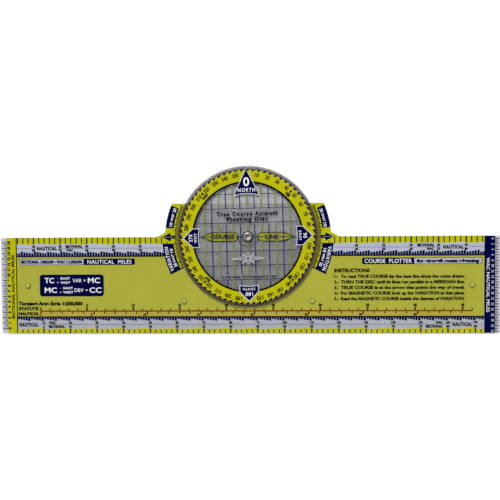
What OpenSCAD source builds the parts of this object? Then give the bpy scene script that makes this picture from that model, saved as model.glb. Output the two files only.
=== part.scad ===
// Rotating azimuth course plotter, for measuring courses and distances on an aeronautical chart.
// A clear laminated base plate carries the printed chart scales. A clear laminated compass disc
// turns on a hollow metal eyelet set in the plate, and a pencil point passes through the eyelet.
// Frame: the origin is on the eyelet's axis at the plate's underside, X runs along the ruler,
// Y runs across it towards the tab, and Z points out of the printed face. Millimetres.

/* [Base plate] */
// Length of the ruler
ruler_length = 342; // [338:0.5:348]
// Width of the ruler, from its top edge to its bottom edge
ruler_width = 66; // [65:0.5:70]
// Radius of the tab's two curved sides
tab_radius = 56.7; // [55.5:0.1:58]
// Height of the tab above the ruler's top edge
tab_height = 22.9; // [18:0.1:26]
// Rounding of the ruler's corners
corner_radius = 0.8; // [0.4:0.1:2]
// Radius of the clear window under the disc, hidden by the disc's yellow ring
window_r = 44; // [42:0.5:44.5]

/* [Laminate] */
// Thickness of each back sheet
back_sheet_t = 0.35; // [0.25:0.05:0.6]
// Thickness of the printed layer between the sheets
print_t = 0.05; // [0.04:0.01:0.1]
// Bond line above the printed layer, where the fine overprint lies
bond_t = 0.06; // [0.04:0.01:0.1]
// Thickness of each front sheet
front_sheet_t = 0.34; // [0.25:0.01:0.6]

/* [Printed scales] */
// Depth of the top edge's chart scales
top_scale_depth = 13.1; // [12.6:0.1:13.6]
// Depth of the bottom edge's chart scales
bottom_scale_depth = 11.3; // [11:0.1:12]
// Width of the clear tick strip at the left end
left_tick_strip = 4.1; // [3.5:0.1:5]
// Width of the clear tick strip at the right end
right_tick_strip = 3.3; // [3:0.1:4]
// Width of the yellow strip beside the left tick strip
left_number_strip = 6.7; // [6:0.1:7]
// Width of the navy strip beside the right tick strip
right_number_strip = 7.2; // [6.5:0.1:7.5]

/* [Azimuth disc] */
// Radius of the disc
disc_radius = 48.4; // [47.8:0.1:50]
// Inner radius of the yellow compass ring
ring_inner_r = 38.1; // [38:0.1:39]
// Width of the black line inside the compass ring
black_line_w = 1.3; // [0.8:0.1:1.4]
// Radius of the valleys between the compass ring's teeth
tooth_valley_r = 44.4; // [44:0.1:45]
// Radius of the tips of the compass ring's teeth
tooth_tip_r = 46.3; // [46:0.1:47]
// How far the disc is turned from north, anticlockwise
azimuth_set = 1.25; // [0:0.25:5]

/* [Pivot] */
// Radius of the pencil hole through the eyelet
pencil_hole_r = 1.9; // [1.7:0.1:1.9]
// Outer radius of the eyelet's tube
tube_r = 2.2; // [2:0.1:2.4]
// Radius of the eyelet's head
head_r = 3.1; // [3:0.1:3.5]
// Radius of the clear spacer washer under the disc
spacer_r = 6.9; // [6:0.1:7.5]
// Thickness of the spacer washer
spacer_t = 0.2; // [0.15:0.05:0.4]
// Radius of the metal washer under the plate
back_washer_r = 3.9; // [3.6:0.1:4.5]
// Thickness of the metal washer
back_washer_t = 0.25; // [0.2:0.05:0.3]

/* [Rest studs] */
// Radius of a stud's dome and foot
stud_r = 1.85; // [1.6:0.05:2.2]
// Height of a stud's dome above the plate
dome_height = 0.9; // [0.5:0.1:1]
// Height of a stud's foot, and of everything else that the plate rests on
foot_height = 0.6; // [0.55:0.05:0.8]

/* [Hidden] */
$fn = 96;

running_gap = 0.05;   // clearance round the eyelet's tube and the studs' shanks
axial_play = 0.03;    // free height under and over the disc
half_length = ruler_length / 2;

// One nautical mile on a 1:500,000 sectional chart and on a 1:1,000,000 world chart
sectional_nm = 1852 * 1000 / 500000;
world_nm = 1852 * 1000 / 1000000;
sectional_tooth = 5 * sectional_nm;
world_tooth = 5 * world_nm;
scale_left = -half_length + left_tick_strip + left_number_strip;
scale_right = half_length - right_tick_strip - right_number_strip;

// Levels, from the plate's underside up
z_print = back_sheet_t;
z_front = z_print + print_t + bond_t;
plate_t = z_front + front_sheet_t;
z_disc = plate_t + spacer_t + axial_play;
z_head = z_disc + plate_t + axial_play;

// The tab, its labels and its arrows, as radii from the eyelet and angles from the X axis
tab_foot = 62.5;          // half width where the tab runs out into the ruler's top edge
tab_flare_y = 3.4;        // where the curved side turns into the flare
label_inner_r = 51.1;
label_outer_r = 58.8;
tick_band_angle = 25.3;
upper_label = [6.5, 22.6];
lower_label = [-25.9, 0];
lower_label_top = -4.4;
arrow = [[58.8, 0], [53, 3], [53, 1.2], [49.8, 1.1], [49.8, -1.1], [53, -1.2], [53, -3]];

// Title bars and the formula panel, as [left, bottom, right, top]
left_title = [-158.3, -18.9, -77.9, -14.5];
left_title_split = -113.5;
right_title = [77.9, -19.1, 158.9, -14.6];
right_title_split = 113.3;
formula_panel = [-144.2, -40.6, -99.6, -25.5];
title_border = 0.35;
title_round = 0.8;
panel_round = 2;
terminal_strip = [-143.7, -ruler_width + bottom_scale_depth, 152.6, -50.7];

// The course line's two labels under the disc
course_label_inner = 7.1;
course_label_outer = 31.2;
course_label_point = 6.7;
course_label_half = 2.75;
course_label_round = 1.5;

stud_places = [[-152.4, -33.4], [-44, -44.3], [44, -44.3], [152.4, -33.4]];
shank_r = 1;

// ---- outlines -------------------------------------------------------------------------------

// A rectangle [left, bottom, right, top] with round corners
module rounded(r, box) {
    translate([box[0] + r, box[1]]) square([box[2] - box[0] - 2 * r, box[3] - box[1]]);
    translate([box[0], box[1] + r]) square([box[2] - box[0], box[3] - box[1] - 2 * r]);
    for (x = [box[0] + r, box[2] - r], y = [box[1] + r, box[3] - r]) translate([x, y]) circle(r = r);
}

// A rectangle [left, bottom, right, top]
module block(box) {
    translate([box[0], box[1]]) square([box[2] - box[0], box[3] - box[1]]);
}

// Points on an arc about a centre, from one angle to another
function arc(centre, r, from, to, steps) = [
    for (i = [0 : steps]) let (a = from + (to - from) * i / steps) centre + r * [cos(a), sin(a)]
];

// The plate's edge: the ruler's four round corners, and the tab between its two flares
module plate_outline() {
    x = half_length - corner_radius;
    y = -ruler_width + corner_radius;
    flare_angle = asin(tab_flare_y / tab_radius);
    corner_angle = asin(tab_height / tab_radius);
    polygon(concat(
        arc([-x, y], corner_radius, 180, 270, 4),
        arc([x, y], corner_radius, 270, 360, 4),
        arc([x, -corner_radius], corner_radius, 0, 90, 4),
        [[tab_foot, 0]],
        arc([0, 0], tab_radius, flare_angle, corner_angle, 12),
        arc([0, 0], tab_radius, 180 - corner_angle, 180 - flare_angle, 12),
        [[-tab_foot, 0]],
        arc([-x, -corner_radius], corner_radius, 90, 180, 4)));
}

module plate_holes() {
    circle(r = tube_r + running_gap);
    for (p = stud_places) translate(p) circle(r = shank_r + running_gap);
}

// Everything in a wedge between two angles, out to past the tab
module wedge(angles) {
    reach = 2 * tab_radius;
    polygon([[0, 0], [reach * cos(angles[0]), reach * sin(angles[0])],
        [reach * cos(angles[1]), reach * sin(angles[1])]]);
}

// Part of a ring between two radii and two angles
module sector(inner, outer, angles) {
    intersection() {
        difference() {
            circle(r = outer);
            circle(r = inner);
        }
        wedge(angles);
    }
}

// The same shape on the right and, mirrored, on the left
module both_sides() {
    children();
    mirror([1, 0]) children();
}

// The stepped edge of a scale from x0 to x1: it runs from near to far in each tooth, then steps back
function step_y(x, k, tooth, near, far) = near + (far - near) * (x / tooth - k);
function stepped_edge(x0, x1, tooth, near, far) = [
    for (k = [floor(x0 / tooth) : ceil(x1 / tooth) - 1])
        each [for (x = [max(x0, k * tooth), min(x1, (k + 1) * tooth)])
            [x, step_y(x, k, tooth, near, far)]]
];
function reversed(list) = [for (i = [len(list) - 1 : -1 : 0]) list[i]];

// ---- the base plate's print, in plan -------------------------------------------------------

// Top scales count outwards from the eyelet. Each is drawn from x 50, under the labels.
top_start = 50;
function top_sectional_edge(end) = stepped_edge(top_start, end, sectional_tooth, -5, -4);
function top_world_edge(end) = stepped_edge(top_start, end, world_tooth,
    -top_scale_depth + 2.2, -top_scale_depth + 3.6);

// Bottom scales count from the left, so their x starts at 0 there
bottom_length = scale_right - scale_left;
bottom_sectional_edge = stepped_edge(0, bottom_length, sectional_tooth,
    -ruler_width + 2.5, -ruler_width + 3.6);
bottom_world_edge = stepped_edge(0, bottom_length, world_tooth,
    -ruler_width + bottom_scale_depth - 1.6, -ruler_width + bottom_scale_depth - 3);

module top_yellow_band(end) {
    polygon(concat([[top_start, 1]], top_sectional_edge(end), [[end, 1]]));
}

module top_white_band(end) {
    difference() {
        polygon(concat(top_sectional_edge(end), reversed(top_world_edge(end))));
        circle(r = label_outer_r);
    }
}

module top_navy_band(end) {
    difference() {
        polygon(concat([[top_start, -top_scale_depth]], top_world_edge(end), [[end, -top_scale_depth]]));
        circle(r = label_outer_r - 0.5);
    }
}

// One label of the course line: pointed at its outer end, rounded at its inner end
module course_label() {
    h = course_label_half;
    r = course_label_round;
    x = course_label_inner + r;
    polygon([[course_label_outer, 0], [course_label_outer - course_label_point, h], [x, h], [x, -h],
        [course_label_outer - course_label_point, -h]]);
    for (y = [-h + r, h - r]) translate([x, y]) circle(r = r);
    block([course_label_inner, -h + r, x + r, h - r]);
}

module left_title_panel() {
    rounded(title_border, [left_title[0] + title_border, left_title[1] + title_border,
        left_title_split, left_title[3] - title_border]);
}

module right_title_panel() {
    rounded(title_border, [right_title_split, right_title[1] + title_border,
        right_title[2] - title_border, right_title[3] - title_border]);
}

module navy_plan() {
    difference() {
        union() {
            intersection() {
                union() {
                    both_sides() sector(label_inner_r, tab_radius + 1, upper_label);
                    block([scale_right, -ruler_width, scale_right + right_number_strip, 0]);
                }
                plate_outline();
            }
            both_sides() {
                intersection() {
                    sector(label_inner_r, label_outer_r, lower_label);
                    block([0, -ruler_width, tab_radius + 5, lower_label_top]);
                }
                polygon(arrow);
            }
            top_navy_band(scale_right);
            mirror([1, 0]) top_navy_band(-scale_left);
            translate([scale_left, 0])
                polygon(concat([[0, -ruler_width + bottom_scale_depth]], bottom_world_edge,
                    [[bottom_length, -ruler_width + bottom_scale_depth]]));
            rounded(title_round, left_title);
            rounded(title_round, right_title);
            rounded(panel_round, formula_panel);
        }
        left_title_panel();
        right_title_panel();
    }
}

module white_plan() {
    top_white_band(scale_right);
    mirror([1, 0]) top_white_band(-scale_left);
    translate([scale_left, 0])
        polygon(concat(bottom_sectional_edge, reversed(bottom_world_edge)));
    left_title_panel();
    right_title_panel();
}

module yellow_plan() {
    difference() {
        intersection() {
            union() {
                block([-tab_foot - 1, lower_label_top - 0.2, tab_foot + 1, tab_height]);
                top_yellow_band(scale_right);
                mirror([1, 0]) top_yellow_band(-scale_left);
                both_sides() sector(window_r - 1, label_inner_r + 0.5, [-tick_band_angle, 1]);
                translate([scale_left, 0])
                    polygon(concat([[0, -ruler_width]], bottom_sectional_edge,
                        [[bottom_length, -ruler_width]]));
                block([scale_left - left_number_strip, -ruler_width, scale_left, 0]);
            }
            plate_outline();
        }
        circle(r = window_r);
        navy_plan();
        white_plan();
    }
    both_sides() course_label();
}

// The clear parts of the plate: the window under the disc and the tick strips at both ends
module window_plan() {
    difference() {
        intersection() {
            union() {
                circle(r = window_r);
                block([-half_length, -ruler_width, -half_length + left_tick_strip, 0]);
                block([half_length - right_tick_strip, -ruler_width, half_length, 0]);
            }
            plate_outline();
        }
        both_sides() course_label();
        plate_holes();
    }
}

// The olive ground between the top and bottom scales
module olive_plan() {
    difference() {
        block([scale_left, -ruler_width + bottom_scale_depth, scale_right, -top_scale_depth]);
        circle(r = window_r);
        both_sides() {
            sector(window_r - 1, label_inner_r + 0.5, [-tick_band_angle, 1]);
            sector(label_inner_r, label_outer_r, lower_label);
        }
        rounded(title_round, left_title);
        rounded(title_round, right_title);
        rounded(panel_round, formula_panel);
        block(terminal_strip);
        plate_holes();
    }
}

// ---- the disc's print, in plan ---------------------------------------------------------------

// A cardinal marker with its point up: [tip radius, shoulder radius and half width, foot half width,
// base radius]. Its base follows a circle about the eyelet.
cardinal_marker = [44.5, 38.1, 6.6, 6.6, 33.6];
north_marker = [47.1, 30.7, 8.4, 8.4, 29.4];
marker_border = 0.42;

// A marker's outline, drawn in by border on every side
module marker(m, border) {
    shoulder_y = sqrt(pow(m[1], 2) - pow(m[2], 2));
    half_angle = atan(m[2] / (m[0] - shoulder_y));
    difference() {
        polygon([[0, m[0] - border / sin(half_angle)], [m[2] - border, shoulder_y],
            [m[3] - border, m[4] - 3], [-m[3] + border, m[4] - 3], [-m[2] + border, shoulder_y]]);
        circle(r = m[4] + border);
    }
}

module markers(border) {
    marker(north_marker, border);
    for (a = [90, 180, 270]) rotate(a) marker(cardinal_marker, border);
}

// The compass ring's toothed edge: every 5 degrees it rises clockwise, then drops back
teeth = 72;
tooth_angle = 360 / teeth;
function polar(r, clockwise) = [r * sin(clockwise), r * cos(clockwise)];
toothed_edge = [
    for (i = [0 : teeth - 1])
        each [polar(tooth_tip_r, i * tooth_angle), polar(tooth_valley_r, i * tooth_angle)]
];

module ring(outer, inner) {
    difference() {
        circle(r = outer);
        circle(r = inner);
    }
}

// ---- solids -----------------------------------------------------------------------------------

module layer(z, t) {
    translate([0, 0, z]) linear_extrude(t) children();
}

// A layer of the disc, turned to where the disc is set
module disc_layer(z, t) {
    rotate(azimuth_set) translate([0, 0, z_disc + z]) linear_extrude(t) children();
}

module plate_sheet(z, t) {
    color([0.72, 0.74, 0.75, 0.4]) layer(z, t) difference() {
        plate_outline();
        plate_holes();
    }
}

module disc_sheet(z, t) {
    color([0.72, 0.74, 0.76, 0.4]) disc_layer(z, t) ring(disc_radius, tube_r + running_gap);
}

module base_back_sheet() plate_sheet(0, back_sheet_t);
module base_front_sheet() plate_sheet(z_front, front_sheet_t);
module base_window_film() color([0.6, 0.62, 0.64, 0.7]) layer(z_print, print_t) window_plan();
module base_olive_print() color([0.67, 0.67, 0.25]) layer(z_print, print_t) olive_plan();
module base_yellow_print() color([0.76, 0.75, 0.07]) layer(z_print, print_t) yellow_plan();
module base_white_print() color([0.72, 0.73, 0.8]) layer(z_print, print_t) white_plan();
module base_navy_print() color([0.06, 0.07, 0.24]) layer(z_print, print_t) navy_plan();
module base_orange_print() color([0.67, 0.62, 0.26]) layer(z_print, print_t) block(terminal_strip);

// A clear stud: a dome on the face, a shank through the plate and a flat foot under it
module stud(place) {
    dome_steps = 10;
    foot_chamfer = 0.15;
    cap_r = (pow(stud_r, 2) + pow(dome_height, 2)) / (2 * dome_height);
    cap_angle = asin(stud_r / cap_r);
    dome = [for (i = [0 : dome_steps]) let (a = cap_angle * (1 - i / dome_steps))
        [i == dome_steps ? 0 : cap_r * sin(a), plate_t + dome_height - cap_r * (1 - cos(a))]];
    color([0.72, 0.72, 0.35]) translate([place[0], place[1], 0]) rotate_extrude()
        polygon(concat([[0, -foot_height], [stud_r - foot_chamfer, -foot_height],
            [stud_r, -foot_height + foot_chamfer], [stud_r, 0], [shank_r, 0], [shank_r, plate_t]], dome));
}

module stud_left_end() stud(stud_places[0]);
module stud_left_inner() stud(stud_places[1]);
module stud_right_inner() stud(stud_places[2]);
module stud_right_end() stud(stud_places[3]);

module back_washer() {
    color([0.7, 0.69, 0.66]) layer(-back_washer_t, back_washer_t)
        ring(back_washer_r, tube_r + running_gap);
}

module spacer_washer() {
    color([0.8, 0.82, 0.84, 0.5]) layer(plate_t, spacer_t) ring(spacer_r, tube_r + running_gap);
}

// The eyelet: a tube with a rolled head over the disc and a rolled flange under the back washer
module eyelet() {
    head_t = 0.42;
    flange_t = foot_height - back_washer_t;
    lip = 0.12;
    head_crown = 0.4;
    color([0.74, 0.73, 0.7]) rotate_extrude() polygon(concat(
        [[pencil_hole_r, -foot_height + lip]],
        arc([pencil_hole_r + lip, -foot_height + lip], lip, 180, 270, 4),
        arc([head_r - 0.3 - lip, -foot_height + lip], lip, 270, 360, 4),
        [[head_r - 0.3, -foot_height + flange_t], [tube_r, -foot_height + flange_t], [tube_r, z_head]],
        [[head_r - lip, z_head]],
        arc([head_r - lip, z_head + lip], lip, -90, 45, 5),
        arc([pencil_hole_r + head_crown, z_head + head_t - head_crown], head_crown, 80, 180, 8)));
}

module disc_back_sheet() disc_sheet(0, back_sheet_t);
module disc_front_sheet() disc_sheet(z_front, front_sheet_t);

module disc_window_film() {
    color([0.63, 0.65, 0.67, 0.7]) disc_layer(z_print, print_t) difference() {
        ring(ring_inner_r - black_line_w, tube_r + running_gap);
        markers(0);
    }
}

module disc_degree_film() {
    color([0.5, 0.48, 0.52, 0.7]) disc_layer(z_print, print_t) difference() {
        circle(r = disc_radius);
        polygon(toothed_edge);
        markers(0);
    }
}

module disc_yellow_print() {
    color([0.76, 0.75, 0.07]) disc_layer(z_print, print_t) difference() {
        polygon(toothed_edge);
        circle(r = ring_inner_r);
        markers(0);
    }
}

module disc_black_print() {
    color([0.05, 0.05, 0.06]) disc_layer(z_print, print_t) difference() {
        ring(ring_inner_r, ring_inner_r - black_line_w);
        markers(0);
    }
}

module disc_navy_print() {
    color([0.06, 0.07, 0.24]) disc_layer(z_print, print_t) markers(marker_border);
}

module disc_silver_print() {
    color([0.75, 0.76, 0.8]) disc_layer(z_print, print_t) difference() {
        markers(0);
        markers(marker_border);
    }
}

base_back_sheet();
base_window_film();
base_olive_print();
base_yellow_print();
base_white_print();
base_navy_print();
base_orange_print();
base_front_sheet();
stud_left_end();
stud_left_inner();
stud_right_inner();
stud_right_end();
back_washer();
spacer_washer();
eyelet();
disc_back_sheet();
disc_window_film();
disc_degree_film();
disc_yellow_print();
disc_black_print();
disc_navy_print();
disc_silver_print();
disc_front_sheet();
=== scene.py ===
import math
from collections import Counter

import bmesh
import bpy
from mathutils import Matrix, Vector


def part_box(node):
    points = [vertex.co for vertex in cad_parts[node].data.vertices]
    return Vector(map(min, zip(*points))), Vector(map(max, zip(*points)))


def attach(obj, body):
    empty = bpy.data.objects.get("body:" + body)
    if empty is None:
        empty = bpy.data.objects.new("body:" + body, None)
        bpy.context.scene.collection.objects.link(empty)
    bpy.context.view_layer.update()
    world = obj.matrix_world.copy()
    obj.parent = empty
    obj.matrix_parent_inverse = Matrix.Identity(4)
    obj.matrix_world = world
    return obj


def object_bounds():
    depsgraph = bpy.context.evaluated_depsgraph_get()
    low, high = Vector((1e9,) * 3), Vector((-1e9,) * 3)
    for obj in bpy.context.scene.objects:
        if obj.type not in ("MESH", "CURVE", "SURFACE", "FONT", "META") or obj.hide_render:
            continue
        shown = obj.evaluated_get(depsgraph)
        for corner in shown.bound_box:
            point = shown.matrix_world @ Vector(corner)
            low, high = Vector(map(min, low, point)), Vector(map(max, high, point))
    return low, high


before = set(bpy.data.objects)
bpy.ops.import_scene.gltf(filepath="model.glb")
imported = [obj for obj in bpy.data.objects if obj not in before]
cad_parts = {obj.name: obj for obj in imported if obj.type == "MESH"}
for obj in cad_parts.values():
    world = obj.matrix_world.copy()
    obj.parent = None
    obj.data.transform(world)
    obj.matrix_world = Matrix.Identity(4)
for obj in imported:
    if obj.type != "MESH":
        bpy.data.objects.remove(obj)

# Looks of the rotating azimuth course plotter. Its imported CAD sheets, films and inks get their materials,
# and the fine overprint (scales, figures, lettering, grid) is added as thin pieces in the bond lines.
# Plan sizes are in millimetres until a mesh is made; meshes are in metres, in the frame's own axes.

cad_low, cad_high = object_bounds()
MM = 0.001


def box_mm(node):
    """A CAD node's lowest and highest corner, in millimetres."""
    low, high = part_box(node)
    return low / MM, high / MM


# ---- places taken from the frame ---------------------------------------------------------------

plate_low, plate_high = box_mm("base_back_sheet")
olive_low, olive_high = box_mm("base_olive_print")
disc_high = box_mm("disc_back_sheet")[1]

SCALE_LEFT = olive_low.x
SCALE_RIGHT = olive_high.x
TOP_SCALE_Y = olive_high.y
BOTTOM_SCALE_Y = olive_low.y
BOTTOM_Y = plate_low.y
LEFT_STRIP_X = box_mm("base_yellow_print")[0].x
RIGHT_STRIP_X = box_mm("base_navy_print")[1].x
DISC_R = disc_high.x
TAB_Y = plate_high.y
WINDOW_R = box_mm("disc_window_film")[1].x
FLOOR_Z = cad_low.z
WASHER_R = box_mm("spacer_washer")[1].x
HEAD_R = box_mm("eyelet")[1].x

# The bond line of each laminate, as the height of its floor and of its ceiling
BOND = {
    "base": (box_mm("base_white_print")[1].z, box_mm("base_front_sheet")[0].z),
    "azimuth_disc": (box_mm("disc_yellow_print")[1].z, box_mm("disc_front_sheet")[0].z),
}


def disc_turn():
    """How far the disc is stored turned from north, anticlockwise: the bearing of its north marker's tip."""
    tip = max((v.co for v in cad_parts["disc_silver_print"].data.vertices), key=lambda co: co.y)
    return math.atan2(-tip.x, tip.y)


DISC_TURN = disc_turn()

# One mile on each chart
SECTIONAL_NM = 3.704
WORLD_NM = 1.852
TERMINAL_SM = 6.437
TERMINAL_NM = 7.408


# ---- node helpers ------------------------------------------------------------------------------

def new_material(name, rough, specular=0.5, metallic=0.0):
    """A material with one Principled node; returns the material, its node tree and that node."""
    material = bpy.data.materials.new(name)
    material.use_nodes = True
    tree = material.node_tree
    shader = next(n for n in tree.nodes if n.type == "BSDF_PRINCIPLED")
    shader.inputs["Roughness"].default_value = rough
    shader.inputs["Specular IOR Level"].default_value = specular
    shader.inputs["Metallic"].default_value = metallic
    return material, tree, shader


def object_place(tree, stretch=(1, 1, 1)):
    """Object coordinates, stretched along each axis."""
    coordinates = tree.nodes.new("ShaderNodeTexCoord")
    mapping = tree.nodes.new("ShaderNodeMapping")
    mapping.inputs["Scale"].default_value = stretch
    tree.links.new(coordinates.outputs["Object"], mapping.inputs["Vector"])
    return mapping.outputs["Vector"]


def noise(tree, size_mm, detail=2.0, stretch=(1, 1, 1)):
    """A noise value from 0 to 1 whose blotches are about size_mm across."""
    texture = tree.nodes.new("ShaderNodeTexNoise")
    texture.inputs["Scale"].default_value = 1 / (size_mm * MM)
    texture.inputs["Detail"].default_value = detail
    tree.links.new(object_place(tree, stretch), texture.inputs["Vector"])
    return texture.outputs["Fac"]


def remap(tree, value, low, high, source=(0.3, 0.7)):
    """Maps source, the useful part of a value's range, to low..high."""
    node = tree.nodes.new("ShaderNodeMapRange")
    node.inputs["From Min"].default_value = source[0]
    node.inputs["From Max"].default_value = source[1]
    node.inputs["To Min"].default_value = low
    node.inputs["To Max"].default_value = high
    tree.links.new(value, node.inputs["Value"])
    return node.outputs["Result"]


def math_node(tree, operation, first, second=None):
    """A Math node; each input is a socket or a number."""
    node = tree.nodes.new("ShaderNodeMath")
    node.operation = operation
    for socket, value in zip(node.inputs, (first, second)):
        if isinstance(value, bpy.types.NodeSocket):
            tree.links.new(value, socket)
        elif value is not None:
            socket.default_value = value
    return node.outputs["Value"]


def mix_colours(tree, factor, first, second, blend="MIX"):
    """Mixes two colours; each is a socket or (r, g, b)."""
    node = tree.nodes.new("ShaderNodeMix")
    node.data_type = "RGBA"
    node.blend_type = blend
    tree.links.new(factor, node.inputs["Factor"])
    for name, value in (("A", first), ("B", second)):
        socket = next(s for s in node.inputs if s.name == name and s.type == "RGBA")
        if isinstance(value, bpy.types.NodeSocket):
            tree.links.new(value, socket)
        else:
            socket.default_value = (*value, 1)
    return next(s for s in node.outputs if s.type == "RGBA")


def scaled(colour, share):
    return tuple(min(1.0, c * share) for c in colour)


def bump(tree, shader, value, height_mm, socket="Normal"):
    node = tree.nodes.new("ShaderNodeBump")
    node.inputs["Strength"].default_value = 1.0
    node.inputs["Distance"].default_value = height_mm * MM
    tree.links.new(value, node.inputs["Height"])
    tree.links.new(node.outputs["Normal"], shader.inputs[socket])


# ---- materials ---------------------------------------------------------------------------------

def ink(name, colour, mottle=0.06, rough=0.55, low_tint=None):
    """Printed ink sealed under a clear sheet: slow drifts of tone and a fine screen-print mottle. low_tint
    multiplies its colour towards the ruler's bottom edge."""
    material, tree, shader = new_material(name, rough, specular=0)
    drift = mix_colours(tree, remap(tree, noise(tree, 40), 0, 1),
                        scaled(colour, 1 - mottle), scaled(colour, 1 + mottle))
    grain = remap(tree, noise(tree, 0.35, detail=4), 0, 1)
    fine = mix_colours(tree, grain, scaled(colour, 1 - 1.4 * mottle), scaled(colour, 1 + 1.4 * mottle))
    half = math_node(tree, "MULTIPLY", remap(tree, noise(tree, 1.2), 0, 1), 0.6)
    printed = mix_colours(tree, half, drift, fine)
    if low_tint:
        split = tree.nodes.new("ShaderNodeSeparateXYZ")
        tree.links.new(object_place(tree), split.inputs["Vector"])
        lower = remap(tree, split.outputs["Y"], 1, 0, (BOTTOM_Y * MM, TOP_SCALE_Y * MM))
        printed = mix_colours(tree, lower, printed, low_tint, "MULTIPLY")
    tree.links.new(printed, shader.inputs["Base Color"])
    tree.links.new(remap(tree, grain, rough - 0.1, rough + 0.1, (0, 1)), shader.inputs["Roughness"])
    bump(tree, shader, grain, 0.004)
    return material


def flat_share(tree):
    """1 on a sheet's faces and 0 on its cut edge, from the way the surface faces."""
    coordinates = tree.nodes.new("ShaderNodeTexCoord")
    split = tree.nodes.new("ShaderNodeSeparateXYZ")
    tree.links.new(coordinates.outputs["Normal"], split.inputs["Vector"])
    return math_node(tree, "GREATER_THAN", math_node(tree, "ABSOLUTE", split.outputs["Z"]), 0.7)


def clear_sheet(name, edge_colour, edge_alpha=0.5):
    """Clear plastic: its faces only mirror, a few hundredths of the light, and its cut edge is pale."""
    material, tree, shader = new_material(name, 0.1)
    flat = flat_share(tree)
    glancing = tree.nodes.new("ShaderNodeLayerWeight")
    glancing.inputs["Blend"].default_value = 0.5
    rise = math_node(tree, "POWER", glancing.outputs["Facing"], 5)
    smear = remap(tree, noise(tree, 22, detail=3), 0.75, 1.25)
    mirror = math_node(tree, "MULTIPLY", remap(tree, rise, 0.04, 1, (0, 1)), smear)
    alpha = tree.nodes.new("ShaderNodeMix")
    alpha.inputs["A"].default_value = edge_alpha
    tree.links.new(flat, alpha.inputs["Factor"])
    tree.links.new(mirror, alpha.inputs["B"])
    tree.links.new(alpha.outputs["Result"], shader.inputs["Alpha"])
    tree.links.new(flat, shader.inputs["Metallic"])
    cloud = mix_colours(tree, remap(tree, noise(tree, 3), 0, 1), scaled(edge_colour, 0.85), edge_colour)
    tree.links.new(mix_colours(tree, flat, cloud, (0.95, 0.97, 1.0)), shader.inputs["Base Color"])
    scratches = noise(tree, 1.1, detail=5, stretch=(0.08, 1.6, 1))
    tree.links.new(remap(tree, scratches, 0.05, 0.16), shader.inputs["Roughness"])
    bump(tree, shader, scratches, 0.002)
    return material


def film(name, colour, alpha, strip=None):
    """A tinted see-through film. alpha is its density, or its densities low and high in its window, where a
    painted shade makes it denser towards the bottom. strip is the colour and density it has out in the
    plate's end strips."""
    material, tree, shader = new_material(name, 0.5, specular=0.2)
    cloud = remap(tree, noise(tree, 14, detail=3), 0, 1)
    tint = mix_colours(tree, cloud, scaled(colour, 0.93), scaled(colour, 1.07))
    streak = remap(tree, noise(tree, 5, detail=3, stretch=(0.2, 1, 1)), 0.94, 1.06)
    density = alpha
    if strip is not None:
        split = tree.nodes.new("ShaderNodeSeparateXYZ")
        tree.links.new(object_place(tree), split.inputs["Vector"])
        low_alpha, high_alpha = alpha
        # painted shade: the film grows denser towards the bottom of its window
        window = remap(tree, split.outputs["Y"], low_alpha, high_alpha, (-WINDOW_R * MM, TAB_Y * MM))
        ends = math_node(tree, "GREATER_THAN", math_node(tree, "ABSOLUTE", split.outputs["X"]),
                         2 * DISC_R * MM)
        strip_colour, strip_alpha = strip
        blend = tree.nodes.new("ShaderNodeMix")
        tree.links.new(ends, blend.inputs["Factor"])
        tree.links.new(window, blend.inputs["A"])
        blend.inputs["B"].default_value = strip_alpha
        density = blend.outputs["Result"]
        tint = mix_colours(tree, ends, tint, strip_colour)
    tree.links.new(tint, shader.inputs["Base Color"])
    tree.links.new(math_node(tree, "MULTIPLY", streak, density), shader.inputs["Alpha"])
    tree.links.new(remap(tree, cloud, 0.42, 0.58, (0, 1)), shader.inputs["Roughness"])
    return material


def stud_plastic(name, colour):
    """Moulded stud: glossy, with painted shade where its dome steepens, a faint flow pattern and an uneven
    skin.
    """
    material, tree, shader = new_material(name, 0.3)
    flow = remap(tree, noise(tree, 1.5, detail=3), 0, 1)
    body = mix_colours(tree, flow, scaled(colour, 0.86), scaled(colour, 1.1))
    coordinates = tree.nodes.new("ShaderNodeTexCoord")
    split = tree.nodes.new("ShaderNodeSeparateXYZ")
    tree.links.new(coordinates.outputs["Normal"], split.inputs["Vector"])
    # painted shade: the dome's steep sides are darkened to 0.3 of its colour
    steep_shade = remap(tree, split.outputs["Z"], 0, 1, (0.62, 0.9))
    tree.links.new(mix_colours(tree, steep_shade, scaled(colour, 0.3), body), shader.inputs["Base Color"])
    tree.links.new(remap(tree, flow, 0.24, 0.38, (0, 1)), shader.inputs["Roughness"])
    bump(tree, shader, noise(tree, 0.8), 0.02)
    return material


def axis_distance(tree):
    """How far a point is from the eyelet's axis."""
    flat = tree.nodes.new("ShaderNodeVectorMath")
    flat.operation = "LENGTH"
    tree.links.new(object_place(tree, stretch=(1, 1, 0)), flat.inputs[0])
    return flat.outputs["Value"]


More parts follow.
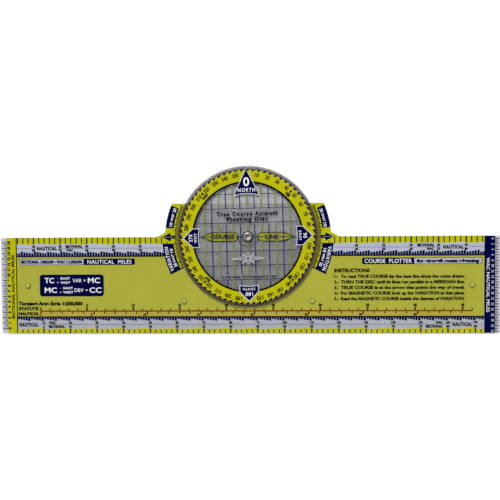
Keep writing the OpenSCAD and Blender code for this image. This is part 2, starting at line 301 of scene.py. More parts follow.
def plated_metal(name, colour):
    """Plated eyelet metal: rings left by the setting die, blotchy tarnish, and painted shade that darkens
    the bore, the inner lip and the outer rim."""
    material, tree, shader = new_material(name, 0.45, metallic=1.0)
    rings = tree.nodes.new("ShaderNodeTexWave")
    rings.wave_type = "RINGS"
    rings.rings_direction = "Z"
    rings.inputs["Scale"].default_value = 0.32 / MM
    rings.inputs["Distortion"].default_value = 1.5
    tree.links.new(object_place(tree), rings.inputs["Vector"])
    tarnish = remap(tree, noise(tree, 0.9, detail=4), 0, 1)
    skin = mix_colours(tree, tarnish, scaled(colour, 0.78), colour)
    away = axis_distance(tree)
    # painted shade: the outer rim is darkened to 0.22 of the metal's colour
    rim_shade = remap(tree, away, 0, 1, (0.82 * HEAD_R * MM, 0.90 * HEAD_R * MM))
    face = mix_colours(tree, rim_shade, skin, scaled(colour, 0.22))
    # painted shade: the bore and inner lip are darkened to 0.16 of the metal's colour
    bore_shade = remap(tree, away, 0, 1, (0.68 * HEAD_R * MM, 0.75 * HEAD_R * MM))
    tree.links.new(mix_colours(tree, bore_shade, scaled(colour, 0.16), face), shader.inputs["Base Color"])
    tree.links.new(remap(tree, tarnish, 0.52, 0.42, (0, 1)), shader.inputs["Roughness"])
    bump(tree, shader, rings.outputs["Fac"], 0.006)
    return material


def cut_washer(name, colour):
    """Clear washer whose rim carries a dark band of painted shadow, strongest on the side that faces the
    ruler.
    """
    material, tree, shader = new_material(name, 0.3)
    split = tree.nodes.new("ShaderNodeSeparateXYZ")
    tree.links.new(object_place(tree), split.inputs["Vector"])
    # painted shadow: a dark band round the rim, strongest towards the ruler and fading on the far side
    shadow_side = remap(tree, split.outputs["Y"], 1.0, 0.1, (-WASHER_R * MM, 0.3 * WASHER_R * MM))
    rim_shade = remap(tree, axis_distance(tree), 0.02, 1, (0.90 * WASHER_R * MM, 0.95 * WASHER_R * MM))
    tree.links.new(math_node(tree, "MULTIPLY", rim_shade, shadow_side), shader.inputs["Alpha"])
    cloud = remap(tree, noise(tree, 0.8, detail=3), 0, 1)
    tree.links.new(mix_colours(tree, cloud, scaled(colour, 0.8), scaled(colour, 1.2)),
                   shader.inputs["Base Color"])
    tree.links.new(remap(tree, cloud, 0.25, 0.4, (0, 1)), shader.inputs["Roughness"])
    return material


# Inks, as albedo
YELLOW = (0.455, 0.445, 0.005)
OLIVE = (0.375, 0.375, 0.046)
LILAC = (0.420, 0.440, 0.535)
NAVY = (0.0006, 0.0016, 0.044)
AMBER = (0.41, 0.34, 0.055)
BLACK = (0.004, 0.004, 0.006)
SILVER = (0.66, 0.67, 0.80)
EMBLEM = (0.165, 0.16, 0.185)
EMBLEM_LINE = (0.62, 0.61, 0.66)
WHITE = (0.88, 0.89, 0.93)
RED_BROWN = (0.20, 0.050, 0.010)
DARK_RED = (0.035, 0.012, 0.004)
GREY_LINE = (0.15, 0.16, 0.15)
GRID_BLUE = (0.012, 0.020, 0.080)
GRID_YELLOW = (0.22, 0.27, 0.003)
LABEL_YELLOW = (0.74, 0.72, 0.004)

yellow_ink = ink("yellow_ink", YELLOW, mottle=0.07)
olive_ink = ink("olive_ink", OLIVE, mottle=0.05)
lilac_ink = ink("lilac_ink", LILAC, mottle=0.04, low_tint=(0.87, 0.87, 0.79))
navy_ink = ink("navy_ink", NAVY, mottle=0.15)
amber_ink = ink("amber_ink", AMBER, mottle=0.06)
black_ink = ink("black_ink", BLACK, mottle=0.2)
silver_ink = ink("silver_ink", SILVER, mottle=0.08, rough=0.4)
emblem_ink = ink("emblem_ink", EMBLEM, mottle=0.12, rough=0.4)
emblem_line_ink = ink("emblem_line_ink", EMBLEM_LINE, mottle=0.1, rough=0.4)
white_ink = ink("white_ink", WHITE, mottle=0.04)
red_brown_ink = ink("red_brown_ink", RED_BROWN, mottle=0.1)
dark_red_ink = ink("dark_red_ink", DARK_RED, mottle=0.1)
grey_ink = ink("grey_ink", GREY_LINE, mottle=0.1)
grid_blue_ink = ink("grid_blue_ink", GRID_BLUE, mottle=0.1)
label_yellow_ink = ink("label_yellow_ink", LABEL_YELLOW, mottle=0.04)

clear_plastic = clear_sheet("clear_plastic", (0.62, 0.66, 0.68))
disc_plastic = clear_sheet("disc_plastic", (0.42, 0.44, 0.45), edge_alpha=0.85)
# the plate's window film carries painted shade: denser at the bottom (0.14) than at the top (0.03)
plate_film = film("plate_film", (0.06, 0.06, 0.04), (0.14, 0.03), strip=((0.07, 0.09, 0.24), 0.14))
disc_film = film("disc_film", (0.05, 0.06, 0.09), 0.178)
degree_film = film("degree_film", (0.12, 0.07, 0.11), 0.30)
grid_yellow_film = film("grid_yellow_film", GRID_YELLOW, 0.28)
stud_material = stud_plastic("stud_plastic", (0.34, 0.34, 0.06))
eyelet_metal = plated_metal("eyelet_metal", (0.50, 0.49, 0.47))
washer_plastic = cut_washer("washer_plastic", (0.10, 0.10, 0.10))

NODE_MATERIALS = {
    "base_back_sheet": clear_plastic,
    "base_window_film": plate_film,
    "base_olive_print": olive_ink,
    "base_yellow_print": yellow_ink,
    "base_white_print": lilac_ink,
    "base_navy_print": navy_ink,
    "base_orange_print": amber_ink,
    "base_front_sheet": clear_plastic,
    "stud_left_end": stud_material,
    "stud_left_inner": stud_material,
    "stud_right_inner": stud_material,
    "stud_right_end": stud_material,
    "back_washer": eyelet_metal,
    "spacer_washer": washer_plastic,
    "eyelet": eyelet_metal,
    "disc_back_sheet": disc_plastic,
    "disc_window_film": disc_film,
    "disc_degree_film": degree_film,
    "disc_yellow_print": yellow_ink,
    "disc_black_print": black_ink,
    "disc_navy_print": navy_ink,
    "disc_silver_print": silver_ink,
    "disc_front_sheet": disc_plastic,
}

for node_name, material in NODE_MATERIALS.items():
    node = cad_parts[node_name]
    node.data.materials.clear()
    node.data.materials.append(material)


# ---- lettering and printed shapes ---------------------------------------------------------------

CAPITAL_HEIGHT = 0.682    # of the built-in font at size 1
FINE = 0.0                # how far a stroke's outline is pushed out, at size 1
REGULAR = 0.012
BOLD = 0.04
STRONG = 0.058
TITLE = 0.064
HEAVY = 0.075

writer_curve = bpy.data.curves.new("writer", "FONT")
writer_curve.resolution_u = 3
writer = bpy.data.objects.new("writer", writer_curve)
bpy.context.scene.collection.objects.link(writer)
glyph_store = {}
GLYPH_WELD = 0.0002       # corners closer than this are one, at size 1


def thickened(points, outlines):
    """A solid from flat faces: a top, a bottom and a wall along each edge that only one face has. Faces
    that run clockwise are slivers with practically no area, and are left out."""
    tops = []
    for outline in outlines:
        area = sum(points[a][0] * points[b][1] - points[b][0] * points[a][1]
                   for a, b in zip(outline, outline[1:] + outline[:1]))
        if area > 0:
            tops.append(tuple(outline))
    edges = Counter(edge for top in tops for edge in zip(top, top[1:] + top[:1]))
    under = len(points)
    walls = [(b, a, a + under, b + under) for (a, b), uses in edges.items()
             for _ in range(uses - edges[(b, a)])]
    bottoms = [tuple(i + under for i in reversed(top)) for top in tops]
    return [(x, y, on_top) for on_top in (True, False) for x, y in points], tops + bottoms + walls


def glyphs(words, weight, spacing):
    """Words as a flat solid: corners with capitals 1 high, each marked as top or bottom, and faces."""
    key = (words, weight, spacing)
    if key not in glyph_store:
        writer_curve.body = words
        writer_curve.offset = weight
        writer_curve.space_character = spacing
        bpy.context.view_layer.update()
        mesh = bpy.data.meshes.new_from_object(writer.evaluated_get(bpy.context.evaluated_depsgraph_get()))
        flat = bmesh.new()
        flat.from_mesh(mesh)
        bpy.data.meshes.remove(mesh)
        bmesh.ops.remove_doubles(flat, verts=flat.verts, dist=GLYPH_WELD)
        flat.verts.index_update()
        points = [(v.co.x / CAPITAL_HEIGHT, v.co.y / CAPITAL_HEIGHT) for v in flat.verts]
        outlines = {frozenset(v.index for v in face.verts): [v.index for v in face.verts]
                    for face in flat.faces}
        flat.free()
        glyph_store[key] = thickened(points, outlines.values())
    return glyph_store[key]


def polar(radius, bearing):
    """A point at a radius from the eyelet, on a bearing in degrees clockwise from north."""
    return radius * math.sin(math.radians(bearing)), radius * math.cos(math.radians(bearing))


# Overprints lie on each other in four levels, as shares of the bond line's height
LEVEL_START = 0.06
LEVEL_STEP = 0.23
INK_SHARE = 0.17


class Print:
    """The printed shapes of one ink, gathered into one thin piece in a laminate's bond line."""

    def __init__(self, name, body, material, slot, level=0):
        floor, ceiling = BOND[body]
        gap = ceiling - floor
        self.name = name
        self.body = body
        self.material = material
        self.slot = slot
        self.low = floor + gap * (LEVEL_START + level * LEVEL_STEP)
        self.high = self.low + gap * INK_SHARE
        self.turn = DISC_TURN if body == "azimuth_disc" else 0
        self.corners = []
        self.faces = []

    def add(self, corners, faces):
        """Adds a solid whose corners are (x, y, on top)."""
        start = len(self.corners)
        cos_turn = math.cos(self.turn)
        sin_turn = math.sin(self.turn)
        for x, y, on_top in corners:
            turned = (x * cos_turn - y * sin_turn, x * sin_turn + y * cos_turn)
            self.corners.append((turned[0] * MM, turned[1] * MM, (self.high if on_top else self.low) * MM))
        self.faces += [tuple(start + i for i in face) for face in faces]

    def shape(self, outline):
        """A flat shape from its outline, which runs anticlockwise."""
        count = len(outline)
        corners = [(x, y, True) for x, y in outline] + [(x, y, False) for x, y in outline]
        sides = [(i, i + count, (i + 1) % count + count, (i + 1) % count) for i in range(count)]
        self.add(corners, [tuple(range(count)), tuple(reversed(range(count, 2 * count)))] + sides)

    def bar(self, x0, y0, x1, y1):
        """An upright rectangle between two opposite corners."""
        left, right = sorted((x0, x1))
        bottom, top = sorted((y0, y1))
        self.shape([(left, bottom), (right, bottom), (right, top), (left, top)])

    def ray(self, inner, outer, bearing, width):
        """A straight bar that points away from the eyelet."""
        side_x, side_y = polar(width / 2, bearing + 90)
        near_x, near_y = polar(inner, bearing)
        far_x, far_y = polar(outer, bearing)
        self.shape([(near_x - side_x, near_y - side_y), (near_x + side_x, near_y + side_y),
                    (far_x + side_x, far_y + side_y), (far_x - side_x, far_y - side_y)])

    def border(self, outside, inside):
        """A closed line between two outlines of as many points each, which run anticlockwise."""
        count = len(outside)
        inner = count
        under = 2 * count
        faces = []
        for i in range(count):
            j = (i + 1) % count
            faces.append((i, j, inner + j, inner + i))
            faces.append((under + inner + i, under + inner + j, under + j, under + i))
            faces.append((j, i, under + i, under + j))
            faces.append((inner + i, inner + j, under + inner + j, under + inner + i))
        self.add([(x, y, on_top) for on_top in (True, False) for x, y in outside + inside], faces)

    def ring(self, centre, radius, width, steps=48):
        """A closed circular line about a centre."""
        def circle(r):
            points = [polar(r, -360 * i / steps) for i in range(steps)]
            return [(centre[0] + x, centre[1] + y) for x, y in points]
        self.border(circle(radius + width / 2), circle(radius - width / 2))

    def words(self, text, x, y, height, width=None, weight=FINE, spacing=1.0, anchor=0.5, turn=0,
              bend=None, slant=0.0):
        """Lettering with capitals of a height, centred on y in height and placed by anchor, from 0 for its
        start to 1 for its end, on x. width fits its length. bend=(radius, bearing) runs it round the
        eyelet instead, tops outwards, with its middle there."""
        corners, faces = glyphs(text, weight, spacing)
        left = min(c[0] for c in corners)
        length = max(c[0] for c in corners) - left
        across = width / length if width else height
        cos_turn = math.cos(math.radians(turn))
        sin_turn = math.sin(math.radians(turn))
        placed = []
        for along, up, on_top in corners:
            u = (along - left - anchor * length) * across + slant * (up - 0.5) * height
            v = (up - 0.5) * height
            if bend:
                radius, bearing = bend
                px, py = polar(radius + v, bearing + math.degrees(u / radius))
            else:
                px, py = x + u * cos_turn - v * sin_turn, y + u * sin_turn + v * cos_turn
            placed.append((px, py, on_top))
        self.add(placed, faces)

    def finish(self):
        """Makes the piece and lets it ride on its body."""
        mesh = bpy.data.meshes.new(self.name)
        mesh.from_pydata(self.corners, [], self.faces)
        mesh.materials.append(self.material)
        piece = bpy.data.objects.new(self.name, mesh)
        bpy.context.scene.collection.objects.link(piece)
        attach(piece, self.body)
        return piece


# ---- the top edge's scales -----------------------------------------------------------------------

MINOR_TICK = 0.76
MAJOR_TICK = 1.0
PALE_TICK = 0.27
FIGURE_HEIGHT = 1.45
ROW_LINE = 0.36

top_sectional_row = -6.1
top_row_line = -7.4
top_world_row = -8.65
label_edge = 59.2         # where the variation labels end and the top bands begin

band_ticks = Print("band_ticks", "base", black_ink, "black_ink")
band_pale_ticks = Print("band_pale_ticks", "base", lilac_ink, "white_ink")
band_lines = Print("band_lines", "base", black_ink, "black_ink", level=2)
row_lines = Print("row_lines", "base", grey_ink, "black_ink")
band_figures = Print("band_figures", "base", black_ink, "black_ink", level=2)
band_words = Print("band_words", "base", black_ink, "black_ink", level=2)


def tick(piece, x, y0, y1, width):
    piece.bar(x - width / 2, y0, x + width / 2, y1)


def tooth_share(distance, mile, per_tooth=5):
    """How far along its tooth a tick stands, from 0 to 1."""
    return (distance / mile) % per_tooth / per_tooth


def top_scale(side, end):
    """One side's scales, which count outwards from the eyelet."""
    for mile in range(math.ceil(label_edge / SECTIONAL_NM), int(end / SECTIONAL_NM) + 1):
        x = mile * SECTIONAL_NM
        major = mile % 5 == 0
        depth = -4.6 if major else -4.2
        tick(band_ticks, side * x, -0.05, depth, MAJOR_TICK if major else MINOR_TICK)
    for mile in range(math.ceil(label_edge / WORLD_NM), int(end / WORLD_NM) + 1):
        x = mile * WORLD_NM
        rise = TOP_SCALE_Y + 2.2 + 1.4 * tooth_share(x, WORLD_NM) + 0.15
        foot = 0.45 if mile % 5 == 0 else 0.6
        tick(band_pale_ticks, side * x, TOP_SCALE_Y + foot, rise, PALE_TICK)
    for mile in range(20, 41, 5):
        x = side * mile * SECTIONAL_NM
        band_figures.words(str(mile), x, top_sectional_row, FIGURE_HEIGHT, weight=HEAVY)
        band_figures.words(str(2 * mile), x, top_world_row, FIGURE_HEIGHT, weight=HEAVY)
    band_lines.bar(side * (label_edge - 1), TOP_SCALE_Y - 0.3, side * end, TOP_SCALE_Y + 0.3)


top_scale(1, SCALE_RIGHT)
top_scale(-1, -SCALE_LEFT)


def row_line(x0, x1, y):
    row_lines.bar(x0, y - ROW_LINE / 2, x1, y + ROW_LINE / 2)


row_line(label_edge, 131.3, top_row_line)
row_line(150.4, SCALE_RIGHT, top_row_line)
row_line(-label_edge, -131, top_row_line)
row_line(-146.6, SCALE_LEFT, top_row_line)

band_words.words("SECTIONAL", 121, top_sectional_row, 1.6, width=11.6, weight=HEAVY)
band_words.words("WAC", 124, top_world_row, 1.6, width=4.9, weight=HEAVY)
band_words.words("NAUTICAL", 139.6, top_row_line, 2.2, width=13.8, spacing=1.2, weight=HEAVY)
band_words.words("SECTIONAL", -120, top_sectional_row, 1.6, width=11.8, weight=HEAVY)
band_words.words("WAC", -123, top_world_row, 1.6, width=4.9, weight=HEAVY)
band_words.words("NAUTICAL", -138.9, top_row_line, 2.2, width=13.9, spacing=1.2, weight=HEAVY)

# ---- the bottom edge's scales --------------------------------------------------------------------

bottom_world_row = BOTTOM_Y + 7.1
bottom_row_line = BOTTOM_Y + 5.85
bottom_sectional_row = BOTTOM_Y + 4.4
bottom_length = SCALE_RIGHT - SCALE_LEFT

for mile in range(1, int(bottom_length / SECTIONAL_NM) + 1):
    major = mile % 5 == 0
    height = 3.2 if major else 2.3
    tick(band_ticks, SCALE_LEFT + mile * SECTIONAL_NM, BOTTOM_Y + 0.05, BOTTOM_Y + height,
         MAJOR_TICK if major else MINOR_TICK)
    if major:
        x = SCALE_LEFT + mile * SECTIONAL_NM
        band_figures.words(str(mile), x, bottom_sectional_row, FIGURE_HEIGHT, weight=HEAVY)
        band_figures.words(str(2 * mile), x, bottom_world_row, FIGURE_HEIGHT, weight=HEAVY)
for mile in range(1, int(bottom_length / WORLD_NM) + 1):
    drop = 1.6 + 1.4 * tooth_share(mile * WORLD_NM, WORLD_NM) + 0.15
    head = 0.45 if mile % 5 == 0 else 0.6
    tick(band_pale_ticks, SCALE_LEFT + mile * WORLD_NM, BOTTOM_SCALE_Y - head, BOTTOM_SCALE_Y - drop,
         PALE_TICK)
band_lines.bar(SCALE_LEFT, BOTTOM_SCALE_Y - 0.3, SCALE_RIGHT, BOTTOM_SCALE_Y + 0.3)
row_line(-145, 138, bottom_row_line)
row_line(157.2, SCALE_RIGHT, bottom_row_line)

band_words.words("NAUTICAL", -152.2, bottom_row_line, 2.2, width=13.3, spacing=1.2, weight=HEAVY)
band_words.words("WAC", -135.8, bottom_world_row, 1.6, width=4.9, weight=HEAVY)
band_words.words("SECTIONAL", -132.7, bottom_sectional_row, 1.6, width=11.4, weight=HEAVY)
band_words.words("NAUTICAL", 145.7, bottom_row_line, 2.2, width=13.3, spacing=1.2, weight=HEAVY)
band_words.words("WAC", 130, bottom_world_row, 1.6, width=4.9, weight=HEAVY)
band_words.words("SECTIONAL", 126.8, bottom_sectional_row, 1.6, width=11.6, weight=HEAVY)

# ---- the scales at both ends ---------------------------------------------------------------------

END_TICK = 0.5

left_zero_y = -62.7
left_miles = 16
right_zero_y = -1.9
right_miles = 34
left_figures_x = -165.6
left_words_x = -162.8
right_figures_x = 166.1
right_words_x = 163

end_ticks = Print("end_ticks", "base", black_ink, "black_ink")
white_words = Print("white_words", "base", white_ink, "white_ink")
right_figures = Print("right_figures", "base", lilac_ink, "white_ink")

for half in range(2 * left_miles + 1):
    y = left_zero_y + half * SECTIONAL_NM / 2
    start = 0.8 if half % 2 == 0 else 2.3
    end_ticks.bar(plate_low.x + start, y - END_TICK / 2, LEFT_STRIP_X - 0.1, y + END_TICK / 2)
    if half % 2 == 0:
        band_figures.words(str(half // 2), left_figures_x, y, 1.8, weight=HEAVY, turn=90)
for mile in range(right_miles + 1):
    y = right_zero_y - mile * WORLD_NM
    end = 0.8 if mile % 2 == 0 else 1.5
    end_ticks.bar(RIGHT_STRIP_X + 0.1, y - END_TICK / 2, plate_high.x - end, y + END_TICK / 2)
    if mile % 2 == 0:
        right_figures.words(str(mile), right_figures_x, y, 1.6, width=0.95 * len(str(mile)), weight=BOLD,
                            turn=-90)
band_lines.bar(SCALE_LEFT - 0.4, BOTTOM_Y + 0.1, SCALE_LEFT + 0.3, -0.1)
band_figures.words("SECTIONAL NAUTICAL MILES", left_words_x, -34, 1.9, width=44.5, weight=BOLD, turn=90)
white_words.words("WAC NAUTICAL MILES", right_words_x, -33.4, 2.1, width=37, turn=-90)

# ---- the terminal chart's scale ------------------------------------------------------------------

amber_low, amber_high = box_mm("base_orange_print")
terminal_x = amber_low.x
terminal_y = amber_high.y
terminal_length = amber_high.x - amber_low.x
panel_left_x = -159.1

terminal_line = Print("terminal_line", "base", red_brown_ink, "orange_ink", level=2)
terminal_ticks = Print("terminal_ticks", "base", dark_red_ink, "black_ink")
panel_words = Print("panel_words", "base", black_ink, "black_ink", level=2)

terminal_line.bar(terminal_x, terminal_y - 0.6, terminal_x + terminal_length, terminal_y + 0.35)
for mile in range(int(terminal_length / TERMINAL_SM) + 1):
    x = terminal_x + mile * TERMINAL_SM
    major = mile % 5 == 0
    tick(terminal_ticks, x, terminal_y, terminal_y + (2.6 if major else 1.7), 1.2 if major else 0.75)
    if major and mile:
        panel_words.words(str(mile), x, terminal_y + 3.8, 1.6, weight=HEAVY)
for mile in range(int(terminal_length / TERMINAL_NM) + 1):
    x = terminal_x + mile * TERMINAL_NM
    major = mile % 5 == 0
    tick(terminal_ticks, x, terminal_y - (2.3 if major else 1.9), terminal_y, 1.0 if major else 0.75)
    if major and mile:
        panel_words.words(str(mile), x - 1.7, terminal_y - 2.6, 1.4, weight=HEAVY)
tick(terminal_line, terminal_x, BOTTOM_SCALE_Y + 0.6, terminal_y + 2.3, 0.8)

panel_words.words("Terminal Area Scale 1:250,000", panel_left_x, -45.6, 2.2, width=44.6, weight=HEAVY,
                  anchor=0)
panel_words.words("STATUTE", panel_left_x, -49.1, 1.9, width=13.8, weight=HEAVY, anchor=0)
panel_words.words("NAUTICAL", panel_left_x, -52.6, 1.9, width=14.2, weight=HEAVY, anchor=0)

# ---- title bars, instructions and the formula panel ----------------------------------------------

title_y = -16.75
bar_title_y = -16.85

panel_words.words("SECTIONAL 1:500,000 • WAC 1:1,000,000", -157.2, title_y, 1.9, width=42.8,
                  weight=HEAVY, anchor=0)
white_words.words("NAUTICAL  MILES", -110.8, title_y, 2.6, width=30.6, spacing=1.1, anchor=0)
white_words.words("COURSE  PLOTTER", 79.6, bar_title_y, 2.7, width=32, anchor=0)
panel_words.words("for aircraft route planning", 114.8, bar_title_y, 2.0, width=42.4, weight=HEAVY, anchor=0,
                  slant=0.2)

instructions = (
    "To read TRUE COURSE lay the base line along the route drawn.",
    "TURN THE DISC until its lines run parallel to a MERIDIAN line.",
    "TRUE COURSE is at the arrow that points the way of travel.",
    "For MAGNETIC COURSE look up the VARIATION at that place.",
    "Read the MAGNETIC COURSE beside the degrees of VARIATION.",
)
instruction_x = 58.9
instruction_top = -27.3
instruction_step = 3.82
formula_x = -140.8
instruction_lines = Print("instruction_lines", "base", black_ink, "black_ink", level=2)
instruction_lines.words("INSTRUCTIONS", instruction_x, -23.3, 2.3, width=24.2, weight=STRONG, anchor=0)
for index, line in enumerate(instructions):
    y = instruction_top - index * instruction_step
    instruction_lines.words(f"{index + 1}.-", instruction_x, y, 1.9, weight=STRONG, anchor=0)
    instruction_lines.words(line, instruction_x + 4.5, y, 2.0, width=84, weight=STRONG, anchor=0)


def formula(y, first, first_end, angle_word, angle_x, last, last_x):
    """One line of the course formula: big letters, a stacked pair of signs and words, and its result."""
    white_words.words(first, formula_x, y, 3.5, width=first_end - formula_x, weight=REGULAR, anchor=0)
    white_words.words("-", first_end + 2.6, y + 1.45, 0.4, width=1.1)
    white_words.words("+", first_end + 2.6, y - 1.45, 1.4, weight=REGULAR)
    white_words.words("EAST", first_end + 4.6, y + 1.45, 1.5, width=6.6, weight=REGULAR, anchor=0)
    white_words.words("WEST", first_end + 4.4, y - 1.45, 1.5, width=7.0, weight=REGULAR, anchor=0)
    white_words.words(angle_word, angle_x, y, 2.4, width=6.3, anchor=0)
    white_words.words("=", angle_x + 8.4, y, 1.9, weight=REGULAR)
    white_words.words(last, last_x, y, 3.5, width=8.4, weight=REGULAR, anchor=0)


formula(-29.6, "TC", -134.2, "VAR", -121.3, "MC", -110.6)
formula(-36.3, "MC", -132.3, "DEV", -120.0, "CC", -109.6)

# ---- the tab: variation labels, arrows and the tick band ------------------------------------------

EAST = 90
WEST = 270
tick_band_angle = 25.3
band_inner_r = DISC_R + 0.25
LABEL_TICK = 0.58
label_figures_r = 53.35
label_title_r = 56.6
upper_label_angle = {EAST: 14.1, WEST: 14.7}
lower_label_angle = 15.5
course_bar_reach = (3.3, 37)
course_bar_half = 0.27

label_ticks = Print("label_ticks", "base", black_ink, "black_ink")
arrow_lines = Print("arrow_lines", "base", lilac_ink, "white_ink")
course_fill = Print("course_fill", "base", label_yellow_ink, "yellow_ink")
course_outline = Print("course_outline", "base", black_ink, "black_ink")
course_words = Print("course_words", "base", black_ink, "black_ink", level=2)


def variation_row(centre, parts):
    """A label's row of figures about a bearing: a figure, a smaller word and a figure."""
    for offset, text, height, width in zip((-5.4, 0, 5.4), parts, (1.95, 1.4, 1.95), (2.7, 5.4, 2.7)):
        white_words.words(text, 0, 0, height, width=width, weight=REGULAR,
                          bend=(label_figures_r, centre + offset))


variation_row(EAST - upper_label_angle[EAST], ("20", "EAST", "10"))
variation_row(WEST + upper_label_angle[WEST], ("10", "WEST", "20"))
lower_labels = (
    (EAST + lower_label_angle, ("10", "WEST", "20")),
    (WEST - lower_label_angle, ("20", "EAST", "10")),
)
for centre, parts in lower_labels:
    white_words.words("VARIATION", 0, 0, 2.4, width=17, weight=REGULAR, spacing=1.25,
                      bend=(label_title_r, centre))
    variation_row(centre, parts)

for side in (EAST, WEST):
    for degree in range(-25, 26):
        lowest = side - degree if side == EAST else side + degree
        x, y = polar(51, lowest)
        if y > TAB_Y - 0.6:
            continue
        reach = 2.5 if degree % 5 == 0 else 1.6
        label_ticks.ray(band_inner_r, band_inner_r + reach, lowest, LABEL_TICK)
    low_end = side + tick_band_angle if side == EAST else side - tick_band_angle
    sign = 1 if side == EAST else -1
    label_ticks.bar(sign * (15 * SECTIONAL_NM) - 0.3, -4.35, sign * (15 * SECTIONAL_NM) + 0.3, -2.9)
    label_ticks.bar(sign * (16 * SECTIONAL_NM) - 0.3, -4.6, sign * (16 * SECTIONAL_NM) + 0.3, -1.5)
    label_ticks.ray(band_inner_r, 59.6, low_end, 0.7)
    arrow_lines.ray(50, 57.8, side, 0.2)


def course_label(grow):
    """The right-hand course label's outline, pushed out by grow: a round-ended bar with an arrow's point."""
    inner, outer, point, half = 7.1 - grow, 31.2 + 2 * grow, 6.7 + grow, 2.75 + grow
    start = [(inner + half * (1 - math.cos(a)), half * math.sin(a))
             for a in (math.radians(90 - 20 * i) for i in range(10))]
    return start + [(outer - point, -half), (outer, 0), (outer - point, half)]


for side in (-1, 1):
    inside = [(side * x, y) for x, y in course_label(-0.1)]
    outside = [(side * x, y) for x, y in course_label(0.45)]
    if side < 0:
        inside.reverse()
        outside.reverse()
    course_fill.shape(inside)
    course_outline.border(outside, inside)
    start, end = course_bar_reach
    course_words.bar(side * start, -course_bar_half, side * end, course_bar_half)
course_words.words("COURSE", -17.1, 0, 3.0, width=16.4, weight=BOLD)
course_words.words("LINE", 16.6, 0, 3.0, width=9.1, weight=BOLD)

# ---- the disc --------------------------------------------------------------------------------------

valley_r = 44.4
tip_r = 46.3
figures_r = 42.5
quarter_r = 39.85
marker_figures_r = 39.2
marker_words_r = 35.9
figure_width = 1.5

degree_ticks = Print("degree_ticks", "azimuth_disc", black_ink, "black_ink")
disc_figures = Print("disc_figures", "azimuth_disc", black_ink, "black_ink")
marker_words = Print("marker_words", "azimuth_disc", white_ink, "white_ink")

for degree in range(360):
    rise = tip_r + (valley_r - tip_r) * ((-degree) % 5) / 5 if degree % 5 else tip_r
    degree_ticks.ray(rise + 0.05, DISC_R - 0.6, degree, 0.28)
    if degree % 5 == 0:
        degree_ticks.shape([polar(valley_r + 0.1, degree + 0.1), polar(tip_r, degree - 0.1),
                            polar(tip_r - 0.1, degree + 1.9), polar(valley_r + 0.7, degree + 1.5)][::-1])
for degree in range(10, 360, 10):
    if degree % 90:
        figure = str(degree)
        disc_figures.words(figure, 0, 0, 2.5, width=figure_width * len(figure), weight=BOLD,
                           bend=(figures_r, degree))
for bearing, point, width in ((45, "NE", 3.6), (135, "SE", 3.2), (225, "SW", 4.6), (315, "NW", 5)):
    disc_figures.shape([polar(44, bearing), polar(figures_r, bearing - 1.15),
                        polar(41, bearing), polar(figures_r, bearing + 1.15)])
    disc_figures.words(point, 0, 0, 1.9, width=width, weight=HEAVY, bend=(quarter_r, bearing))

marker_words.words("0", 0, 37.6, 5.7, width=4, weight=REGULAR)
marker_words.words("NORTH", 0, 32, 2.4, width=11.8, weight=REGULAR, spacing=1.3)
for bearing, figure, word in ((90, "90", "EAST"), (180, "180", "SOUTH"), (270, "270", "WEST")):
    marker_words.words(figure, 0, 0, 2.4, width=1.7 * len(figure), weight=REGULAR, spacing=1.15,
                       bend=(marker_figures_r, bearing))
    marker_words.words(word, 0, 0, 1.6, width=1.65 * len(word), weight=REGULAR, spacing=1.3,
                       bend=(marker_words_r, bearing))

# The grid is cut off by the black ring and by the north and south markers, and stops above and below
# lettering.
grid_step = 9.74
grid_r = 36.9
marker_base_y = {"north": 29.1, "south": -33}
marker_half_width = {"north": 8.4, "south": 6.6}
north_row_gap = 9
hub_r = 2.9               # the eyelet's head covers the grid inside this
title_rows = (2 * grid_step, grid_step)
title_half_width = 2.2 * grid_step
notice_rows = (-2.62 * grid_step, -3 * grid_step)

grid_blue = Print("grid_blue", "azimuth_disc", grid_blue_ink, "navy_ink")
grid_yellow = Print("grid_yellow", "azimuth_disc", grid_yellow_film, "yellow_ink", level=1)


def grid_column(piece, x, width, middle_gap=0):
    """A north-south grid line, in the stretches that lettering and markers leave. It also stops middle_gap
    short of the disc's own east-west line."""
    reach = math.sqrt(grid_r ** 2 - x ** 2)
    top = min(reach, marker_base_y["north"]) if abs(x) < marker_half_width["north"] else reach
    bottom = max(-reach, marker_base_y["south"]) if abs(x) < marker_half_width["south"] else -reach
    middle = hub_r if abs(x) < hub_r else middle_gap
    gaps = [(middle, -middle)] if middle else []
    if abs(x) < title_half_width:
        gaps = [title_rows, *gaps, notice_rows]
    high = top
    for gap_top, gap_foot in gaps:
        tick(piece, x, gap_top, high, width)
        high = gap_foot
    tick(piece, x, bottom, high, width)


def grid_row(y, width):
    """An east-west grid line, which the north marker may cut in two."""
    reach = math.sqrt(grid_r ** 2 - y ** 2)
    gap = north_row_gap if y > 2.5 * grid_step else 0
    for start, end in ((-reach, -gap), (gap, reach)) if gap else ((-reach, reach),):
        grid_blue.bar(start, y - width / 2, end, y + width / 2)


for half_step in (-2.5, -1.5, -0.5, 0.5, 1.5, 2.5):
    grid_column(grid_blue, half_step * grid_step, 0.6)
for step in (-3, -2, -1, 0, 1, 2, 3):
    grid_column(grid_yellow, step * grid_step, 1.7, middle_gap=0.6 if abs(step) == 3 else 2.9)
for step in (-3, -2, -1, 1, 2, 3):
    grid_row(step * grid_step, 0.46)

disc_words = Print("disc_words", "azimuth_disc", black_ink, "black_ink", level=2)
disc_words.words("True Course Azimuth", 0, 15.9, 2.5, width=42, weight=TITLE, spacing=1.35)
disc_words.words("Plotting Disc", 0, 12.2, 2.4, width=28.4, weight=TITLE, spacing=1.3)
disc_words.words("ALIGN GRID WITH MERIDIAN LINE", 0, -27.4, 1.1, width=38, weight=HEAVY, spacing=1.3)

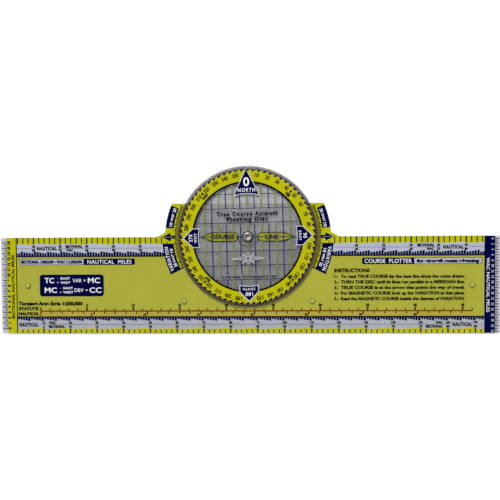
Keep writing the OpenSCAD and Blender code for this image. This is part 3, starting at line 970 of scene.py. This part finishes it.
# A plain compass star, drawn out sideways, with a hub and fine engraved rays
ornament = Print("ornament", "azimuth_disc", emblem_ink, "silver_ink", level=2)
ornament_lines = Print("ornament_lines", "azimuth_disc", emblem_line_ink, "silver_ink", level=3)
ornament_y = -14.8
star_points = ((12, 0), (3.6, 1.5), (4.2, 3.6), (1.5, 2.4), (0, 4.3))
quarters = ((1, 1), (-1, 1), (-1, -1), (1, -1))


def star_outline(share):
    """The star's outline, drawn in to a share of its size."""
    outline = []
    for index, (across, up) in enumerate(quarters):
        quarter = star_points if index % 2 == 0 else star_points[::-1]
        outline += [(share * across * x, ornament_y + share * up * y) for x, y in quarter[:-1]]
    return outline


whole = star_outline(1)
ornament.shape(whole)
ornament_lines.border(whole, star_outline(0.9))
ornament_lines.ring((0, ornament_y), 1.7, 0.4)
for x, y in star_points[:4]:
    for across, up in quarters[:4 if y else 2]:
        reach = math.hypot(x, y)
        side_x, side_y = -up * y / reach * 0.14, across * x / reach * 0.14
        near, far = 2.2 / reach, 0.8
        ornament_lines.shape([
            (across * x * share + side * side_x, ornament_y + up * y * share + side * side_y)
            for share, side in ((near, -1), (far, -1), (far, 1), (near, 1))])

for piece in (band_ticks, band_pale_ticks, band_lines, row_lines, band_figures, band_words, end_ticks,
              right_figures, terminal_line, terminal_ticks, panel_words, white_words, instruction_lines,
              label_ticks, arrow_lines, course_fill, course_outline, course_words, degree_ticks,
              disc_figures, marker_words, grid_blue, grid_yellow, disc_words, ornament, ornament_lines):
    piece.finish()
bpy.data.objects.remove(writer)

# ---- camera, light and floor -----------------------------------------------------------------------

camera_data = bpy.data.cameras.new("camera")
camera_data.lens = 70
camera_data.sensor_width = 36
camera_data.clip_start = 0.05
camera_data.clip_end = 20
camera = bpy.data.objects.new("camera", camera_data)
camera.location = Vector((29.85, 19.0, 664.6)) * MM
camera.rotation_euler = [math.radians(a) for a in (-2.43, 2.43, -0.35)]
bpy.context.scene.collection.objects.link(camera)
bpy.context.scene.camera = camera


def sun(name, bearing, elevation, strength, softness):
    """A soft distant light that comes from a bearing, clockwise from north, at an elevation."""
    data = bpy.data.lights.new(name, "SUN")
    data.energy = strength
    data.angle = math.radians(softness)
    lamp = bpy.data.objects.new(name, data)
    flat = math.cos(math.radians(elevation))
    towards = Vector((*polar(flat, bearing), math.sin(math.radians(elevation))))
    lamp.rotation_euler = towards.to_track_quat("Z", "Y").to_euler()
    bpy.context.scene.collection.objects.link(lamp)


sun("key", 345, 48, 3.3, 22)
sun("left_fill", 250, 42, 0.85, 30)
sun("right_fill", 110, 42, 0.85, 30)

world = bpy.data.worlds.new("studio")
world.use_nodes = True
background = next(n for n in world.node_tree.nodes if n.type == "BACKGROUND")
background.inputs["Color"].default_value = (0.95, 0.97, 1.0, 1)
direction = world.node_tree.nodes.new("ShaderNodeTexCoord")
rise = world.node_tree.nodes.new("ShaderNodeSeparateXYZ")
world.node_tree.links.new(direction.outputs["Generated"], rise.inputs["Vector"])
ceiling = remap(world.node_tree, rise.outputs["Z"], 0.35, 0.005, (0, 0.85))
world.node_tree.links.new(ceiling, background.inputs["Strength"])
bpy.context.scene.world = world

floor_half = 4.0
floor_mesh = bpy.data.meshes.new("floor")
floor_mesh.from_pydata([(x, y, FLOOR_Z) for x, y in ((-floor_half, -floor_half), (floor_half, -floor_half),
                                                     (floor_half, floor_half), (-floor_half, floor_half))],
                       [], [(0, 1, 2, 3)])
floor_material, _, floor_shader = new_material("floor", 0.9, specular=0.0)
floor_shader.inputs["Base Color"].default_value = (0.94, 0.94, 0.94, 1)
floor_mesh.materials.append(floor_material)
floor = bpy.data.objects.new("floor", floor_mesh)
bpy.context.scene.collection.objects.link(floor)

bpy.context.scene.view_settings.view_transform = "Standard"
bpy.context.scene.cycles.transparent_max_bounces = 40
